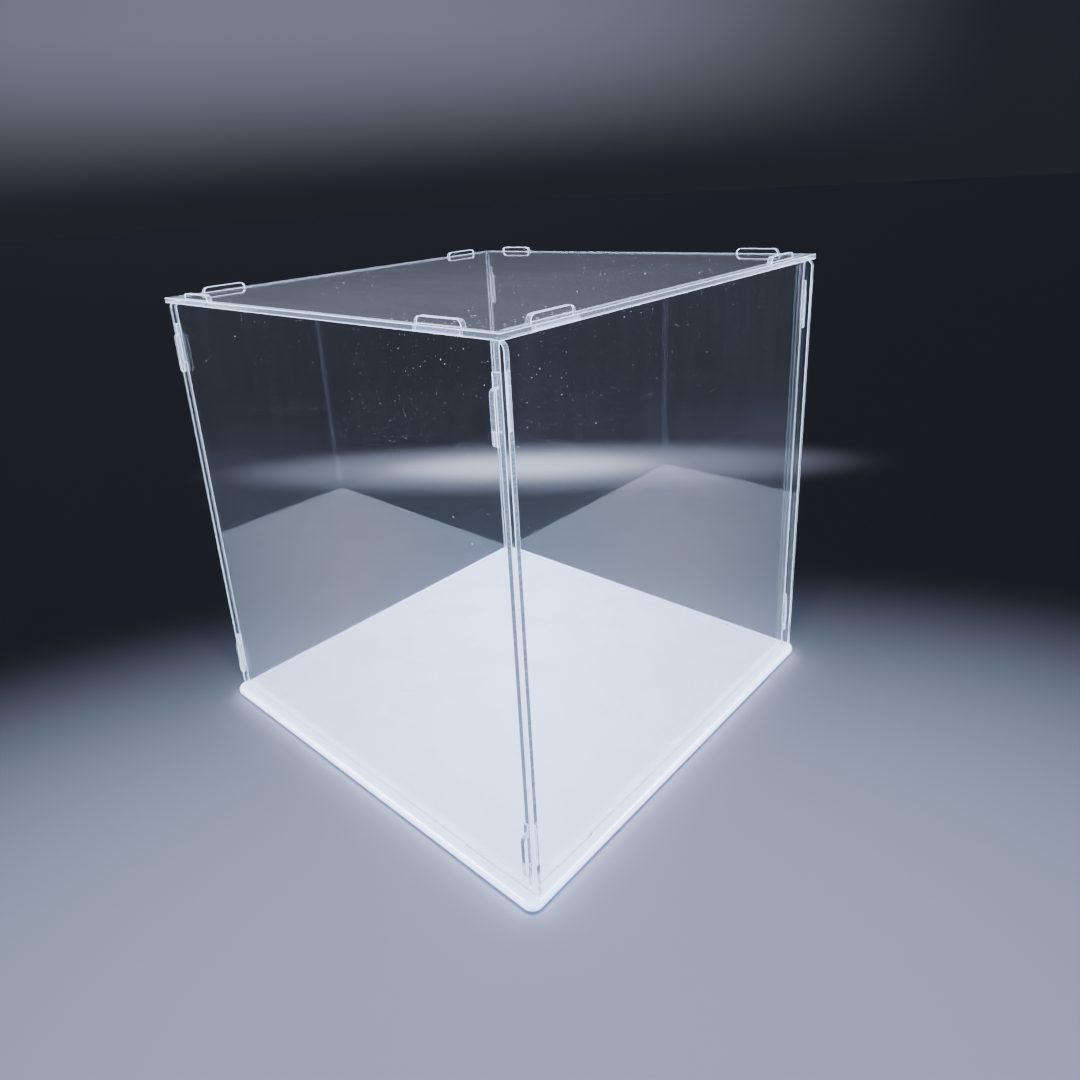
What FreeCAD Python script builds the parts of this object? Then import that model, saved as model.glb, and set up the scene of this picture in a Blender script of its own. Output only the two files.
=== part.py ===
"""Acrylic display cube: a slip-together case of five clear panels on a white base.

Millimetres, +Z up, origin at the centre of the base's underside. -Y is the front.
The front and back panels are slotted. The left and right panels carry hooks that
pass through those slots and drop behind the sheet. Every wall has two tabs at its
top, which locate the lid, and two at its foot, which stand in the base's slots.
"""
import FreeCAD, Part
import os
import Sketcher

DIMENSIONS = (
    ("lid_side", 250.0, "side of the square lid"),
    ("lid_corner", 0.8, "plan radius of the lid's corners"),
    ("sheet", 2.6, "thickness of every clear panel"),
    ("polish", 0.25, "round of a panel's polished edges"),
    ("wall_rise", 242.0, "base top to the lid's underside"),
    ("lid_overhang", 1.85, "lid edge beyond the slotted walls' outer faces"),
    ("slotted_side", 249.5, "width of the slotted front and back panels"),
    ("corner_land", 3.5, "slotted panel beyond a hooked wall's outer face"),
    ("slotted_corner", 4.0, "upper corner radius of a slotted panel"),
    ("slotted_foot", 1.0, "lower corner radius of a slotted panel"),
    ("hooked_corner", 3.0, "corner radius of a hooked panel"),
    ("tab_length", 25.0, "length of a tab along its wall"),
    ("tab_inset", 20.0, "lid edge to the nearer end of a tab"),
    ("tab_stand", 2.9, "tab above the lid's top face"),
    ("tab_corner", 2.6, "corner radius of a tab"),
    ("foot_depth", 4.2, "foot tab below its wall's lower edge"),
    ("foot_gap", 0.2, "hairline gap between a wall and the base"),
    ("slot_play", 0.2, "slot wider than the sheet in it"),
    ("slot_ease", 0.4, "slot longer than the tab in it"),
    ("joint_gap", 0.1, "gap between a hooked panel and a slotted one"),
    ("hook_slot", 21.2, "height of a hook's slot"),
    ("hook_neck", 16.0, "height of a hook's neck"),
    ("hook_drop", 5.0, "how far a hook's lip hangs below its neck"),
    ("hook_lip", 2.3, "thickness of a hook's lip"),
    ("hook_round", 2.4, "radius of a hook's outer top corner"),
    ("lip_round", 1.1, "radius of a hook lip's end"),
    ("upper_slot", 209.2, "base top to the foot of an upper hook slot"),
    ("lower_slot", 15.2, "base top to the foot of a lower hook slot"),
    ("base_margin", 5.2, "base beyond the walls' outer faces"),
    ("base_rise", 7.0, "thickness of the base"),
    ("base_corner", 6.0, "plan radius of the base's corners"),
    ("base_shoulder", 3.0, "radius of the base's upper edge"),
    ("base_toe", 3.8, "radius of the base's lower edge"),
)

SHEET_NAME = "Sizes"
TOLERANCE = 1e-4
BOTH_SIDES = "Symmetric"


class Length:
    """A size held as a number together with the spreadsheet formula that gives it."""

    def __init__(self, value, formula):
        self.value = value
        self.formula = formula

    def __add__(self, other):
        return Length(self.value + other.value, f"({self.formula} + {other.formula})")

    def __sub__(self, other):
        return Length(self.value - other.value, f"({self.formula} - {other.formula})")

    def half(self):
        return Length(self.value / 2, f"({self.formula} / 2)")

    def negative(self):
        return Length(-self.value, f"(0 - {self.formula})")


ZERO = Length(0.0, "0")


def make_sheet(doc):
    """Write the driving dimensions into a spreadsheet and return them by name."""
    sheet = doc.addObject("Spreadsheet::Sheet", SHEET_NAME)
    sizes = {}
    for row, (alias, value, meaning) in enumerate(DIMENSIONS, start=1):
        sheet.set(f"A{row}", str(value))
        sheet.setAlias(f"A{row}", alias)
        sheet.set(f"B{row}", meaning)
        sizes[alias] = Length(value, f"{SHEET_NAME}.{alias}")
    doc.recompute()
    return sizes


def add_layout(sizes):
    """Positions that several panels share, worked out from the driving dimensions."""
    lid_half = sizes["lid_side"].half()
    sizes["tab_outer"] = lid_half - sizes["tab_inset"]
    sizes["tab_inner"] = sizes["tab_outer"] - sizes["tab_length"]
    sizes["slotted_face"] = lid_half - sizes["lid_overhang"]
    sizes["slotted_middle"] = sizes["slotted_face"] - sizes["sheet"].half()
    sizes["hooked_face"] = sizes["slotted_side"].half() - sizes["corner_land"]
    sizes["hooked_middle"] = sizes["hooked_face"] - sizes["sheet"].half()
    sizes["hooked_half"] = sizes["slotted_face"] - sizes["sheet"] - sizes["joint_gap"]
    sizes["wall_foot"] = sizes["base_rise"] + sizes["foot_gap"]
    sizes["wall_top"] = sizes["base_rise"] + sizes["wall_rise"]
    sizes["tab_top"] = sizes["wall_top"] + sizes["sheet"] + sizes["tab_stand"]
    sizes["foot_bottom"] = sizes["wall_foot"] - sizes["foot_depth"]
    sizes["slot_width"] = sizes["sheet"] + sizes["slot_play"]
    return sizes


def origin_plane(body, role):
    """One of a body's own origin planes, such as XY_Plane."""
    for feature in body.Origin.OriginFeatures:
        if feature.Role == role:
            return feature
    raise RuntimeError(f"{body.Name} has no {role}")


def pin_point(sketch, line, axis, length):
    """Hold a line's start point at a signed distance from a sketch axis."""
    if abs(length.value) < TOLERANCE:
        other_axis = -2 if axis == "DistanceX" else -1
        sketch.addConstraint(Sketcher.Constraint("PointOnObject", line, 1, other_axis))
        return
    number = sketch.addConstraint(Sketcher.Constraint(axis, -1, 1, line, 1, length.value))
    sketch.setExpression(f"Constraints[{number}]", length.formula)


def add_outline(sketch, points):
    """Draw one closed outline of straight lines through (across, up) points."""
    vectors = [FreeCAD.Vector(across.value, up.value, 0) for across, up in points]
    lines = []
    for start, end in zip(vectors, vectors[1:] + vectors[:1]):
        lines.append(sketch.addGeometry(Part.LineSegment(start, end), False))
    for line, following in zip(lines, lines[1:] + lines[:1]):
        sketch.addConstraint(Sketcher.Constraint("Coincident", line, 2, following, 1))
    for line, (across, up) in zip(lines, points):
        pin_point(sketch, line, "DistanceX", across)
        pin_point(sketch, line, "DistanceY", up)


def rectangle(left, right, low, high):
    """Corner points of an upright rectangle."""
    return [(left, low), (right, low), (right, high), (left, high)]


def make_sketch(body, name, role, outlines, height=None):
    """A sketch on one of the body's origin planes, raised by height if given."""
    sketch = body.newObject("Sketcher::SketchObject", name)
    sketch.AttachmentSupport = [(origin_plane(body, role), "")]
    sketch.MapMode = "FlatFace"
    for points in outlines:
        add_outline(sketch, points)
    if height is not None:
        sketch.setExpression("AttachmentOffset.Base.z", height.formula)
    return sketch


def pad(body, name, sketch, thickness, side=BOTH_SIDES):
    """Pad a sketch, by default half to each side of its plane."""
    feature = body.newObject("PartDesign::Pad", name)
    feature.Profile = sketch
    feature.SideType = side
    feature.setExpression("Length", thickness.formula)
    sketch.Visibility = False
    return feature


def mirror(body, name, feature, planes):
    """Repeat a feature across one or two planes and make the result the body's tip."""
    if len(planes) == 1:
        mirrored = body.newObject("PartDesign::Mirrored", name)
        mirrored.Originals = [feature]
        mirrored.MirrorPlane = planes[0]
        body.Tip = mirrored
        return mirrored
    repeat = body.newObject("PartDesign::MultiTransform", name)
    repeat.Originals = [feature]
    steps = []
    for number, plane in enumerate(planes):
        step = body.Document.addObject("PartDesign::Mirrored", f"{name}Step{number}")
        step.MirrorPlane = plane
        steps.append(step)
    repeat.Transformations = steps
    body.Tip = repeat
    return repeat


def pocket(body, name, sketch, planes, depth=None):
    """Cut a sketch and its mirror images, through the body unless a depth is given."""
    before = body.Shape.Volume
    cut = body.newObject("PartDesign::Pocket", name)
    cut.Profile = sketch
    if depth is None:
        cut.Type = "ThroughAll"
        cut.SideType = BOTH_SIDES
    else:
        cut.Type = "Length"
        cut.setExpression("Length", depth.formula)
    sketch.Visibility = False
    mirror(body, f"All{name}", cut, [(sketch, [plane]) for plane in planes])
    body.Document.recompute()
    if body.Shape.Volume > before - TOLERANCE:
        raise RuntimeError(f"{body.Label}: {name} cuts nothing")


def edges_through(body, axis, places):
    """Names of the edges parallel to axis that pass through any (across, up) place."""
    others = [index for index in range(3) if index != axis]
    names = []
    for number, edge in enumerate(body.Shape.Edges, start=1):
        if len(edge.Vertexes) != 2:
            continue
        start = edge.Vertexes[0].Point
        end = edge.Vertexes[1].Point
        if any(abs(start[index] - end[index]) > TOLERANCE for index in others):
            continue
        for across, up in places:
            near = abs(start[others[0]] - across) + abs(start[others[1]] - up)
            if near < TOLERANCE:
                names.append(f"Edge{number}")
    return names


def edges_in_face(body, axis, level):
    """Names of the edges that lie in the plane where the axis coordinate is level."""
    names = []
    for number, edge in enumerate(body.Shape.Edges, start=1):
        box = edge.BoundBox
        low = (box.XMin, box.YMin, box.ZMin)[axis]
        high = (box.XMax, box.YMax, box.ZMax)[axis]
        if abs(low - level) < TOLERANCE and abs(high - level) < TOLERANCE:
            names.append(f"Edge{number}")
    return names


def fillet(body, name, edges, radius):
    """Round the named edges of the body's tip."""
    if not edges:
        raise RuntimeError(f"{body.Label}: {name} found no edges")
    tip = body.Tip
    feature = body.newObject("PartDesign::Fillet", name)
    feature.Base = (tip, edges)
    feature.setExpression("Radius", radius.formula)
    body.Document.recompute()
    return feature


def both_hands(places):
    """Each (across, up) place and its mirror image across the middle, as numbers."""
    pairs = [(across.value, up.value) for across, up in places]
    return pairs + [(-across, up) for across, up in pairs]


def round_places(body, name, axis, places, radius):
    """Round the edges along axis that stand at places on either side of the middle."""
    fillet(body, name, edges_through(body, axis, both_hands(places)), radius)


def polish(body, sizes, axis, levels):
    """Slightly round every edge of a finished panel's two faces."""
    edges = [name for level in levels for name in edges_in_face(body, axis, level)]
    fillet(body, "PolishedEdges", edges, sizes["polish"])


def wall_outline(sizes, half_width, hooks):
    """Right half of a wall: plate, foot tab and top tab, with hook points if any."""
    foot = sizes["wall_foot"]
    top = sizes["wall_top"]
    inner = sizes["tab_inner"]
    outer = sizes["tab_outer"]
    lower = [(ZERO, foot), (inner, foot), (inner, sizes["foot_bottom"])]
    lower += [(outer, sizes["foot_bottom"]), (outer, foot), (half_width, foot)]
    upper = [(half_width, top), (outer, top), (outer, sizes["tab_top"])]
    upper += [(inner, sizes["tab_top"]), (inner, top), (ZERO, top)]
    return lower + hooks + upper


def tab_corners(sizes):
    """Outer corners of the tabs at the top and the foot of a wall."""
    rows = (sizes["tab_top"], sizes["foot_bottom"])
    ends = (sizes["tab_inner"], sizes["tab_outer"])
    return [(end, row) for row in rows for end in ends]


def hook_levels(sizes):
    """Foot of each hook slot, measured from the base's underside."""
    return [sizes["base_rise"] + sizes[name] for name in ("lower_slot", "upper_slot")]


def hook_points(sizes, slot_foot):
    """The hook above one slot foot: out under the neck, down the lip, up and back."""
    edge = sizes["hooked_half"]
    throat = sizes["slotted_face"] + sizes["joint_gap"]
    tip = throat + sizes["hook_lip"]
    neck_low = slot_foot + sizes["joint_gap"]
    neck_high = neck_low + sizes["hook_neck"]
    lip_low = neck_low - sizes["hook_drop"]
    return [(edge, neck_low), (throat, neck_low), (throat, lip_low),
            (tip, lip_low), (tip, neck_high), (edge, neck_high)]


def make_body(doc, label):
    """An empty body whose label names the piece and its file."""
    body = doc.addObject("PartDesign::Body", label)
    body.Label = label
    return body


def make_wall(doc, sizes, label, role, half_width, corners, hooks):
    """A wall's plate and tabs, symmetric about the middle, half a sheet to each side."""
    body = make_body(doc, label)
    points = wall_outline(sizes, half_width, [point for hook in hooks for point in hook])
    outline = make_sketch(body, "Outline", role, [points])
    plate = pad(body, "Plate", outline, sizes["sheet"])
    mirror(body, "WholePlate", plate, [(outline, ["V_Axis"])])
    doc.recompute()
    axis = 1 if role == "XZ_Plane" else 0
    foot_corner, top_corner = corners
    round_places(body, "FootCorners", axis, [(half_width, sizes["wall_foot"])], foot_corner)
    round_places(body, "TopCorners", axis, [(half_width, sizes["wall_top"])], top_corner)
    round_places(body, "TabCorners", axis, tab_corners(sizes), sizes["tab_corner"])
    return body


def make_slotted_panel(doc, sizes, label, middle):
    """Front or back wall: a plate with four tabs and four hook slots."""
    corners = (sizes["slotted_foot"], sizes["slotted_corner"])
    body = make_wall(doc, sizes, label, "XZ_Plane", sizes["slotted_side"].half(), corners, [])
    left = sizes["hooked_middle"] - sizes["slot_width"].half()
    right = sizes["hooked_middle"] + sizes["slot_width"].half()
    slots = [rectangle(left, right, foot, foot + sizes["hook_slot"])
             for foot in hook_levels(sizes)]
    pocket(body, "HookSlots", make_sketch(body, "SlotSketch", "XZ_Plane", slots), ["V_Axis"])
    half_sheet = sizes["sheet"].half().value
    polish(body, sizes, 1, (-half_sheet, half_sheet))
    body.setExpression("Placement.Base.y", middle.formula)
    return body


def make_hooked_panel(doc, sizes, label, middle):
    """Left or right wall: a plate with four tabs and four hooks."""
    hooks = [hook_points(sizes, foot) for foot in hook_levels(sizes)]
    corners = (sizes["hooked_corner"], sizes["hooked_corner"])
    body = make_wall(doc, sizes, label, "YZ_Plane", sizes["hooked_half"], corners, hooks)
    lip_ends = [point for hook in hooks for point in hook[2:4]]
    round_places(body, "LipEnds", 0, lip_ends, sizes["lip_round"])
    hook_tops = [hook[4] for hook in hooks]
    round_places(body, "HookTops", 0, hook_tops, sizes["hook_round"])
    half_sheet = sizes["sheet"].half().value
    polish(body, sizes, 0, (-half_sheet, half_sheet))
    body.setExpression("Placement.Base.x", middle.formula)
    return body


def tab_slots(sizes):
    """The two tab slots of one quarter: one along the back wall, one along the right."""
    near = sizes["tab_inner"] - sizes["slot_ease"].half()
    far = sizes["tab_outer"] + sizes["slot_ease"].half()
    half_width = sizes["slot_width"].half()
    back = sizes["slotted_middle"]
    right = sizes["hooked_middle"]
    return [rectangle(near, far, back - half_width, back + half_width),
            rectangle(right - half_width, right + half_width, near, far)]


def cut_tab_slots(body, sizes, height, depth=None):
    """Cut all eight tab slots down from height."""
    sketch = make_sketch(body, "SlotSketch", "XY_Plane", tab_slots(sizes), height)
    pocket(body, "TabSlots", sketch, ["V_Axis", "H_Axis"], depth)


def make_plate(doc, label, reach_x, reach_y, corner, thickness):
    """Pad a rectangle up from the body's own XY plane and round its plan corners."""
    body = make_body(doc, label)
    border = rectangle(reach_x.negative(), reach_x, reach_y.negative(), reach_y)
    outline = make_sketch(body, "Outline", "XY_Plane", [border])
    pad(body, "Plate", outline, thickness, side="One side")
    doc.recompute()
    round_places(body, "PlanCorners", 2, border[1:3], corner)
    return body


def make_lid(doc, sizes):
    """The square lid, with a slot for each of the walls' eight top tabs."""
    reach = sizes["lid_side"].half()
    body = make_plate(doc, "top_panel", reach, reach, sizes["lid_corner"], sizes["sheet"])
    cut_tab_slots(body, sizes, sizes["sheet"])
    polish(body, sizes, 2, (0.0, sizes["sheet"].value))
    body.setExpression("Placement.Base.z", sizes["wall_top"].formula)
    return body


def make_base(doc, sizes):
    """The moulded base: a thick plate with rounded edges and eight blind slots."""
    reach_x = sizes["hooked_face"] + sizes["base_margin"]
    reach_y = sizes["slotted_face"] + sizes["base_margin"]
    body = make_plate(doc, "base_plate", reach_x, reach_y, sizes["base_corner"],
                      sizes["base_rise"])
    shoulder = edges_in_face(body, 2, sizes["base_rise"].value)
    fillet(body, "Shoulder", shoulder, sizes["base_shoulder"])
    fillet(body, "Toe", edges_in_face(body, 2, 0.0), sizes["base_toe"])
    cut_tab_slots(body, sizes, sizes["base_rise"], sizes["base_rise"] - sizes["foot_bottom"])
    return body


def check_objects(doc, bodies):
    """Stop before anything is written if a feature failed or a piece isn't one solid."""
    for item in doc.Objects:
        if "Invalid" in item.State or "Error" in item.State:
            raise RuntimeError(f"{item.Name} failed: {item.State}")
    for body in bodies:
        shape = body.Shape
        if shape.isNull() or not shape.isValid() or len(shape.Solids) != 1:
            raise RuntimeError(f"{body.Label} isn't one valid solid")
        print(f"{body.Label}: {shape.Volume / 1000:.2f} cm3, {len(shape.Faces)} faces")


def main():
    doc = FreeCAD.newDocument("DisplayCube")
    sizes = add_layout(make_sheet(doc))
    slotted = sizes["slotted_middle"]
    hooked = sizes["hooked_middle"]
    bodies = [
        make_base(doc, sizes),
        make_slotted_panel(doc, sizes, "front_panel", slotted.negative()),
        make_slotted_panel(doc, sizes, "back_panel", slotted),
        make_hooked_panel(doc, sizes, "left_panel", hooked.negative()),
        make_hooked_panel(doc, sizes, "right_panel", hooked),
        make_lid(doc, sizes),
    ]
    doc.recompute()
    check_objects(doc, bodies)
    os.makedirs("parts", exist_ok=True)
    for body in bodies:
        body.Shape.exportStep(f"parts/{body.Label}.step")


main()
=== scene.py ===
import math

import bpy
from mathutils import Euler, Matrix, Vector


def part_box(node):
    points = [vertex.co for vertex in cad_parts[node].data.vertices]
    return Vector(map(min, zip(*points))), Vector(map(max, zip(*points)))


# Camera: where it stands round the case's middle, and how it is aimed. All lengths are in
# metres, apart from the lens and the sensor, which Blender has in millimetres.
CAMERA_DISTANCE = 0.4309
CAMERA_AZIMUTH = math.radians(44.54)
CAMERA_HEIGHT = 0.2971
CAMERA_HEADING = math.radians(44.68)
CAMERA_TILT = math.radians(18.89)
CAMERA_ROLL = math.radians(-3.84)
CAMERA_LENS = 26.04
CAMERA_SENSOR = 36.0
CAMERA_SHIFT = (0.0361, -0.0799)

FLOOR_REACH = 12.0
FLOOR_COLOR = (0.56, 0.56, 0.61, 1)
FLOOR_ROUGHNESS = 0.8

# Which way each panel is thin: 0 is X, 1 is Y and 2 is Z.
PANEL_AXIS = {
    "front_panel": 1,
    "back_panel": 1,
    "left_panel": 0,
    "right_panel": 0,
    "top_panel": 2,
}
LID_AXIS = 2

# For each of those ways: how hazy a panel's faces are, and how much its edges scatter, partly as the
# sawn edges' frost and partly as a painted glow of light piped along the sheet.
SHEET_HAZE = (0.0028, 0.0015, 0.005)
EDGE_GLOW = (0.30, 0.30, 0.16)

# Edges that face up or down, such as the tabs' tops, scatter this much: a painted highlight on the
# level edges.
TAB_TOP_GLOW = 0.85

SHEET_IOR = 1.49
FACE_TINT = (0.975, 0.988, 1.0, 1)
SAWN_TINT = (0.82, 0.87, 0.94, 1)
SAWN_ROUGHNESS = 0.16
EDGE_COLOR = (0.48, 0.53, 0.59, 1)
# The arrises' white, and how much of it they get, are a painted highlight for the glints along the
# sheets' edges.
ARRIS_HIGHLIGHT_COLOR = (0.98, 0.98, 0.97, 1)
ARRIS_HIGHLIGHT_SHARE = 0.9
DUST_COLOR = (0.94, 0.95, 0.93, 1)
SHADOW_TINT = (0.94, 0.955, 0.97, 1)

# Dust: where it starts to thicken towards the lid's front corner, the most of its places
# that are taken there, and what its specks' sizes are multiplied by.
WALL_DUST = (0.15, 0.34, 0.8)
LID_DUST = (0.40, 0.9, 2.0)

# Fine and coarse specks, then fibres: how far apart their places are, and the largest radius.
SPECKS = ((0.0030, 0.00018), (0.0100, 0.00028))
FIBRES = (0.0032, 0.00005)
FIBRE_SHARE = 0.0025

# How many waves a metre the noise has: in the streaks of wiping, in the clouds of haze and
# dust, in the bends of fibres, and in the base's grain, the saw grain and the base's tone.
STREAK_SCALE = 90.0
CLOUD_SCALE = 16.0
BEND_SCALE = 60.0
GRAIN_SCALE = 1400.0
SAW_SCALE = 2600.0
TONE_SCALE = 35.0

BASE_IOR = 1.59
BASE_COLORS = ((0.60, 0.70, 0.83, 1), (0.63, 0.725, 0.85, 1))
BASE_ROUGHNESS = (0.25, 0.31)

LAMP_AIM = Vector((0, 0, 0.05))

# Light colours, which the tone curve pulls towards white.
COOL = (0.80, 0.93, 1.25)
BLUER = (0.62, 0.92, 1.50)
PLAIN = (0.98, 0.94, 1.03)
BAND = (0.88, 1.0, 1.08)
BAND_FRINGE = (0.85, 0.95, 1.2)
SURROUNDINGS = (0.80, 0.87, 1.12, 1)
GLOW_DIRECTION = (-0.83, 0.56, 0)


class Nodes:
    """Builds one node material or world, with short calls for the nodes used here."""

    def __init__(self, tree):
        self.tree = tree
        self.tree.nodes.clear()

    def add(self, kind, inputs=None, **settings):
        """A node with its settings; inputs are values, or sockets to link from."""
        node = self.tree.nodes.new(kind)
        for name, value in settings.items():
            setattr(node, name, value)
        for name, value in (inputs or {}).items():
            if isinstance(value, bpy.types.NodeSocket):
                self.tree.links.new(value, node.inputs[name])
            else:
                node.inputs[name].default_value = value
        return node

    def math(self, operation, first, second=0.0):
        """The result of one operation on sockets or numbers."""
        node = self.add("ShaderNodeMath", {0: first, 1: second}, operation=operation)
        return node.outputs[0]

    def ramp(self, value, low, high, start=0.0, end=1.0):
        """A smooth step from start to end while value goes from low to high."""
        inputs = {"Value": value, "From Min": low, "From Max": high}
        inputs.update({"To Min": start, "To Max": end})
        node = self.add("ShaderNodeMapRange", inputs, interpolation_type="SMOOTHSTEP")
        return node.outputs["Result"]

    def parts(self, vector):
        """A vector's X, Y and Z."""
        return self.add("ShaderNodeSeparateXYZ", {0: vector}).outputs

    def stretch(self, vector, factors):
        """A vector with each of its parts scaled."""
        node = self.add("ShaderNodeVectorMath", {0: vector, 1: factors}, operation="MULTIPLY")
        return node.outputs["Vector"]

    def noise(self, vector, scale, detail=2.0):
        inputs = {"Vector": vector, "Scale": scale, "Detail": detail}
        return self.add("ShaderNodeTexNoise", inputs).outputs["Fac"]

    def warp(self, vector, scale, reach):
        """A vector pushed about sideways by noise."""
        push = self.add("ShaderNodeTexNoise", {"Vector": vector, "Scale": scale}).outputs["Color"]
        inputs = {0: push, 1: (reach, reach, 0), 2: vector}
        node = self.add("ShaderNodeVectorMath", inputs, operation="MULTIPLY_ADD")
        return node.outputs["Vector"]

    def specks(self, flat, spacing, radius, density):
        """Specks of different sizes and strengths; density is the share of cells with one."""
        inputs = {"Vector": flat, "Scale": 1.0 / spacing, "Randomness": 0.9}
        cells = self.add("ShaderNodeTexVoronoi", inputs, voronoi_dimensions="2D")
        chance = self.add("ShaderNodeSeparateColor", {0: cells.outputs["Color"]}).outputs
        size = self.ramp(chance["Green"], 0.0, 1.0, 0.35 * radius / spacing, radius / spacing)
        inside = self.math("LESS_THAN", cells.outputs["Distance"], size)
        taken = self.math("MULTIPLY", inside, self.math("LESS_THAN", chance["Red"], density))
        return self.math("MULTIPLY", taken, self.ramp(chance["Blue"], 0.25, 1.0, 0.15, 0.9))

    def blend(self, share, first, second):
        """A mix of two shaders: share is how much of the second."""
        node = self.add("ShaderNodeMixShader", {"Fac": share})
        self.tree.links.new(first, node.inputs[1])
        self.tree.links.new(second, node.inputs[2])
        return node.outputs[0]

    def scattering(self, color):
        """A surface that scatters light to both sides, as dust and sawn acrylic do; the edges also use
        it for their painted glow and painted highlights.
        """
        front = self.add("ShaderNodeBsdfDiffuse", {"Color": color}).outputs[0]
        through = self.add("ShaderNodeBsdfTranslucent", {"Color": color}).outputs[0]
        return self.blend(0.5, front, through)

    def acrylic(self, color, roughness):
        """Clear acrylic that bends and mirrors light."""
        return self.add("ShaderNodeBsdfPrincipled", {
            "Base Color": color,
            "Roughness": roughness,
            "IOR": SHEET_IOR,
            "Transmission Weight": 1.0,
        }).outputs[0]

    def finish(self, shader, kind="ShaderNodeOutputMaterial"):
        self.add(kind, {"Surface": shader})


def new_material(name):
    material = bpy.data.materials.new(name)
    material.use_nodes = True
    return material, Nodes(material.node_tree)


def face_plan(nodes, place, axis, middle):
    """Flat coordinates on a panel's faces, far apart on its two sides so that they differ."""
    parts = nodes.parts(place)
    across, along = [parts[index] for index in range(3) if index != axis]
    side = nodes.math("SIGN", nodes.math("SUBTRACT", parts[axis], middle))
    along = nodes.math("ADD", along, nodes.math("MULTIPLY", side, 0.5))
    return nodes.add("ShaderNodeCombineXYZ", {0: across, 1: along}).outputs[0]


def haze_film(nodes, flat, axis, corner, clouds):
    """A thin film of haze with wiping streaks, thicker towards the front corner and the top."""
    wiping = (0.12, 1, 1) if axis == LID_AXIS else (1, 0.12, 1)
    streaks = nodes.noise(nodes.stretch(flat, wiping), STREAK_SCALE, 3.0)
    film = nodes.math("MULTIPLY", nodes.ramp(streaks, 0.3, 0.75, 0.8, 1.25), SHEET_HAZE[axis])
    film = nodes.math("MULTIPLY", film, nodes.ramp(clouds, 0.3, 0.7, 0.8, 1.2))
    return nodes.math("MULTIPLY", film, nodes.ramp(corner, 0.0, 0.5, 0.55, 1.25))


def strewn_dust(nodes, flat, axis, corner, clouds):
    """Fine and coarse specks and a few bent fibres, thickest at the front corner and the top."""
    start, most, grow = LID_DUST if axis == LID_AXIS else WALL_DUST
    settled = nodes.math("MULTIPLY", nodes.ramp(corner, start, 0.5, 0.03, most),
                         nodes.ramp(clouds, 0.36, 0.66, 0.3, 1.0))
    bent = nodes.stretch(nodes.warp(flat, BEND_SCALE, 0.005), (1.0, 0.1, 1.0))
    dust = nodes.specks(bent, *FIBRES, nodes.math("MULTIPLY", settled, FIBRE_SHARE))
    for spacing, radius in SPECKS:
        specks = nodes.specks(flat, spacing, radius * grow, settled)
        dust = nodes.math("MAXIMUM", dust, specks)
    return dust


def dust_cover(nodes, place, axis, middle):
    """How much of a sheet's face is hidden by haze, wiping streaks, dust specks and fibres."""
    flat = face_plan(nodes, place, axis, middle)
    parts = nodes.parts(place)
    corner = nodes.math("ADD", nodes.math("SUBTRACT", parts["X"], parts["Y"]), parts["Z"])
    clouds = nodes.noise(flat, CLOUD_SCALE, 3.0)
    film = haze_film(nodes, flat, axis, corner, clouds)
    return nodes.math("MAXIMUM", film, strewn_dust(nodes, flat, axis, corner, clouds))


def sheet_edge(nodes, place, normal, axis, middle, half):
    """A panel's edge: a sawn side with fine saw grain, its scatter partly frost and partly a painted
    glow, between two arrises painted white as a highlight.
    """
    facing = nodes.math("ABSOLUTE", normal[axis])
    along = [1.0, 1.0, 1.0]
    along[axis] = 0.08
    grain = nodes.noise(nodes.stretch(place, tuple(along)), SAW_SCALE, 3.0)
    sawn = nodes.acrylic(SAWN_TINT, SAWN_ROUGHNESS)
    upward = nodes.math("ABSOLUTE", normal["Z"])
    # The sides' scatter is partly frost and partly a painted glow; level edges get more of it, a
    # painted highlight.
    level = nodes.ramp(upward, 0.5, 0.9, EDGE_GLOW[axis], TAB_TOP_GLOW)
    frost_and_glow = nodes.math("MULTIPLY", level, nodes.ramp(grain, 0.3, 0.7, 0.6, 1.4))
    side = nodes.blend(frost_and_glow, sawn, nodes.scattering(EDGE_COLOR))
    # Painted highlight: the arrises scatter nearly white light, standing in for glints and light piped
    # along the sheet.
    arris_highlight = nodes.blend(ARRIS_HIGHLIGHT_SHARE, sawn, nodes.scattering(ARRIS_HIGHLIGHT_COLOR))
    rim = nodes.math("ABSOLUTE", nodes.math("SUBTRACT", nodes.parts(place)[axis], middle))
    # The band of the edge next to each face, and the rounds, get the painted arris highlight.
    side = nodes.blend(nodes.ramp(rim, 0.72 * half, 0.84 * half), side, arris_highlight)
    return nodes.blend(nodes.ramp(facing, 0.05, 0.25), side, arris_highlight)


def clear_sheet_material(name, axis, middle, half):
    """Clear acrylic: faces like glass with a little dust, and sawn edges whose arrises are painted
    white as a highlight.
    """
    material, nodes = new_material(name)
    coordinates = nodes.add("ShaderNodeTexCoord")
    place = coordinates.outputs["Object"]
    normal = nodes.parts(coordinates.outputs["Normal"])

    dust = nodes.scattering(DUST_COLOR)
    face = nodes.blend(dust_cover(nodes, place, axis, middle), nodes.acrylic(FACE_TINT, 0.0), dust)
    edge = sheet_edge(nodes, place, normal, axis, middle, half)
    facing = nodes.math("ABSOLUTE", normal[axis])
    sheet = nodes.blend(nodes.ramp(facing, 0.90, 0.985), edge, face)

    # Lamps and scattered light pass straight through the sheet.
    path = nodes.add("ShaderNodeLightPath")
    passing = nodes.math("MAXIMUM", path.outputs["Is Shadow Ray"], path.outputs["Is Diffuse Ray"])
    open_sheet = nodes.add("ShaderNodeBsdfTransparent", {"Color": SHADOW_TINT})
    nodes.finish(nodes.blend(passing, sheet, open_sheet.outputs[0]))
    return material


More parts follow.
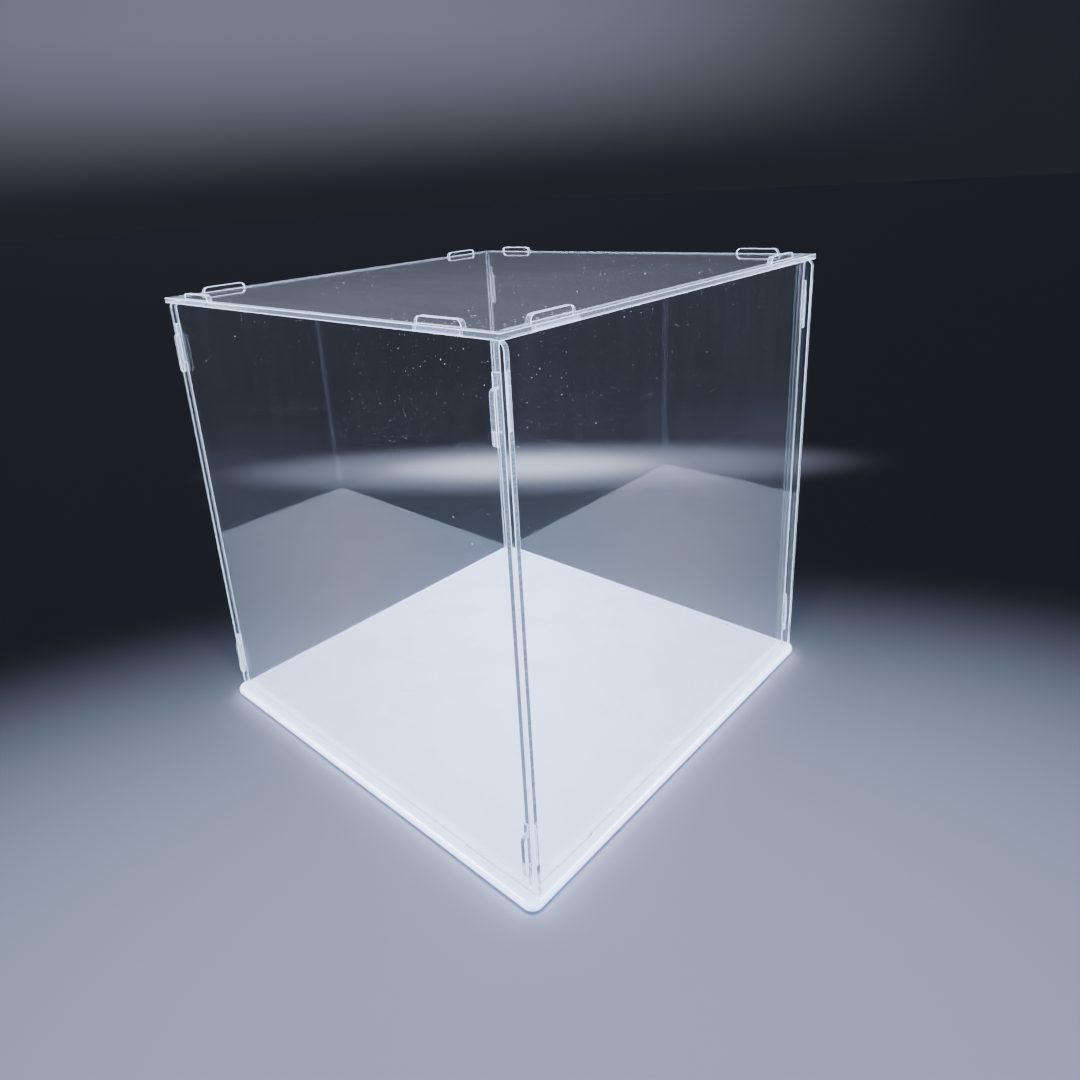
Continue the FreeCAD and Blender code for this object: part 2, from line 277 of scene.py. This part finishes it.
def white_base_material():
    """Satin white plastic with a fine moulded grain and slight changes of tone and gloss."""
    material, nodes = new_material("white_base")
    place = nodes.add("ShaderNodeTexCoord").outputs["Object"]
    grain = nodes.noise(place, GRAIN_SCALE, 3.0)
    bump = nodes.add("ShaderNodeBump", {"Height": grain, "Strength": 0.08, "Distance": 0.0003})
    tone = nodes.noise(place, TONE_SCALE, 4.0)
    color = nodes.add("ShaderNodeMix", data_type="RGBA")
    nodes.tree.links.new(nodes.ramp(tone, 0.3, 0.7), color.inputs[0])
    color.inputs[6].default_value, color.inputs[7].default_value = BASE_COLORS
    plastic = nodes.add("ShaderNodeBsdfPrincipled", {
        "Base Color": color.outputs[2],
        "Roughness": nodes.ramp(tone, 0.3, 0.7, *BASE_ROUGHNESS),
        "IOR": BASE_IOR,
        "Normal": bump.outputs[0],
    })
    nodes.finish(plastic.outputs[0])
    return material


def floor_material():
    material, nodes = new_material("floor")
    inputs = {"Base Color": FLOOR_COLOR, "Roughness": FLOOR_ROUGHNESS}
    nodes.finish(nodes.add("ShaderNodeBsdfPrincipled", inputs).outputs[0])
    return material


def add_object(name, data):
    item = bpy.data.objects.new(name, data)
    bpy.context.scene.collection.objects.link(item)
    return item


def add_floor():
    mesh = bpy.data.meshes.new("floor")
    reach = FLOOR_REACH
    corners = [(-reach, -reach, 0), (reach, -reach, 0), (reach, reach, 0), (-reach, reach, 0)]
    mesh.from_pydata(corners, [], [(0, 1, 2, 3)])
    mesh.materials.append(floor_material())
    floor = add_object("floor", mesh)
    return floor


def add_camera():
    data = bpy.data.cameras.new("camera")
    data.sensor_width = CAMERA_SENSOR
    data.lens = CAMERA_LENS
    data.shift_x, data.shift_y = CAMERA_SHIFT
    data.clip_start = 0.01
    data.clip_end = 50.0
    camera = add_object("camera", data)
    camera.location = (
        CAMERA_DISTANCE * math.sin(CAMERA_AZIMUTH),
        -CAMERA_DISTANCE * math.cos(CAMERA_AZIMUTH),
        CAMERA_HEIGHT,
    )
    aim = Euler((0, 0, CAMERA_HEADING)).to_matrix()
    aim = aim @ Euler((math.pi / 2 - CAMERA_TILT, 0, 0)).to_matrix()
    aim = aim @ Euler((0, 0, CAMERA_ROLL)).to_matrix()
    camera.rotation_euler = aim.to_euler()
    bpy.context.scene.camera = camera


def add_area_light(name, place, size, power, color):
    """A square lamp that points at the case."""
    data = bpy.data.lights.new(name, "AREA")
    data.size = size
    data.energy = power
    data.color = color
    light = add_object(name, data)
    light.location = place
    aim = LAMP_AIM - Vector(place)
    light.rotation_euler = aim.to_track_quat("-Z", "Y").to_euler()
    return light


def add_spot(name, place, power, color, angle, turn, stretch):
    """A soft spot light that points straight down, its pool stretched one way."""
    data = bpy.data.lights.new(name, "SPOT")
    data.energy = power
    data.color = color
    data.spot_size = math.radians(angle)
    data.spot_blend = 1.0
    data.shadow_soft_size = 0.02
    light = add_object(name, data)
    light.location = place
    light.rotation_euler = (0, 0, math.radians(turn))
    light.scale = (stretch, 1.0, 1.0)
    return light


def linking_group(name, objects, state):
    """A light linking group of a few objects, to light only them or to leave them out."""
    group = bpy.data.collections.new(name)
    for item in objects:
        group.objects.link(item)
    for entry in group.collection_objects:
        entry.light_linking.link_state = state
    return group


def aim_at_group(light, group, glossy):
    """Light only what the group says, unseen except as a sheen where glossy is on."""
    light.light_linking.receiver_collection = group
    light.visible_camera = False
    light.visible_transmission = False
    light.visible_glossy = glossy


def add_lamps(floor, base):
    """Soft lamps round the case: two for the sheets, four for the base and one for both."""
    both = linking_group("not_floor", [floor], "EXCLUDE")
    sheets = linking_group("only_sheets", [floor, base], "EXCLUDE")
    base_alone = linking_group("only_base", [base], "INCLUDE")
    # Name, place, size, power, colour, what it lights, and whether it shows as a sheen.
    lamps = (
        ("overhead", (-0.22, -0.12, 0.9), 0.5, 37.0, COOL, sheets, False),
        ("sheet_glow", (-0.65, 0.65, 0.5), 0.5, 70.0, COOL, sheets, False),
        ("front_fill", (0.9, -0.9, 0.35), 0.8, 24.0, COOL, both, False),
        ("base_back", (-0.62, 0.62, 0.52), 0.4, 16.0, BLUER, base_alone, True),
        ("base_front", (0.70, -0.70, 0.20), 0.4, 13.0, BLUER, base_alone, False),
        ("base_right", (0.76, 0.49, 0.42), 0.4, 36.0, PLAIN, base_alone, True),
        ("base_left", (-0.49, -0.76, 0.42), 0.4, 36.0, PLAIN, base_alone, True),
    )
    for name, place, size, power, color, group, glossy in lamps:
        aim_at_group(add_area_light(name, place, size, power, color), group, glossy)


def add_pools(floor):
    """Pools of light on the floor: a wide one in front and a long bright band behind."""
    floor_alone = linking_group("only_floor", [floor], "INCLUDE")
    band_place = (-0.26, 0.293, 0.7)
    # Name, place, power, colour, cone angle, turn, and how far the pool is stretched.
    pools = (
        ("front_pool", (0.17, -0.17, 0.9), 28.0, COOL, 46.0, 45.0, 1.6),
        ("band_core", band_place, 29.0, BAND, 7.5, 37.0, 4.0),
        ("band_fringe", band_place, 14.0, BAND_FRINGE, 14.0, 37.0, 4.6),
    )
    for settings in pools:
        aim_at_group(add_spot(*settings), floor_alone, False)


def add_world():
    """Dim studio surroundings, with a soft glow low down on the backdrop behind the case."""
    world = bpy.data.worlds.new("studio")
    world.use_nodes = True
    nodes = Nodes(world.node_tree)
    direction = nodes.add("ShaderNodeTexCoord").outputs["Generated"]
    height = nodes.parts(direction)["Z"]
    behind = nodes.add("ShaderNodeVectorMath", {0: direction, 1: GLOW_DIRECTION},
                       operation="DOT_PRODUCT").outputs["Value"]
    # The glow rises from the horizon and fades again higher up.
    glow = nodes.math("MULTIPLY", nodes.ramp(behind, 0.72, 0.99), nodes.ramp(height, 0.2, 0.5, 1, 0.2))
    glow = nodes.math("MULTIPLY", glow, nodes.ramp(height, 0.0, 0.18, 0.0, 0.20))
    dim = nodes.ramp(height, -0.02, 0.3, 0.025, 0.028)
    inputs = {"Color": SURROUNDINGS, "Strength": nodes.math("ADD", glow, dim)}
    background = nodes.add("ShaderNodeBackground", inputs)
    nodes.finish(background.outputs[0], "ShaderNodeOutputWorld")
    bpy.context.scene.world = world


def panel_material(name):
    axis = PANEL_AXIS[name]
    low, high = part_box(name)
    middle = (low[axis] + high[axis]) / 2
    half = (high[axis] - low[axis]) / 2
    return clear_sheet_material(f"{name}_sheet", axis, middle, half)


def dress(cad_nodes):
    """Give every CAD node its material."""
    for name, node in cad_nodes.items():
        material = white_base_material() if name == "base_plate" else panel_material(name)
        node.data.materials.clear()
        node.data.materials.append(material)


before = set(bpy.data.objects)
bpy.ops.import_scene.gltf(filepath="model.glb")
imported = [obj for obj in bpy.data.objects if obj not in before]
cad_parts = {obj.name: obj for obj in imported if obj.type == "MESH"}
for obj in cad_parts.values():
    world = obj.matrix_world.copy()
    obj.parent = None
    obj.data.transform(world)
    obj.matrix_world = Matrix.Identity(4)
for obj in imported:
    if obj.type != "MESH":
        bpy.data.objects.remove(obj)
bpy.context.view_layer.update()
add_camera()
stage_floor = add_floor()
add_lamps(stage_floor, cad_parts["base_plate"])
add_pools(stage_floor)
add_world()
dress(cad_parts)
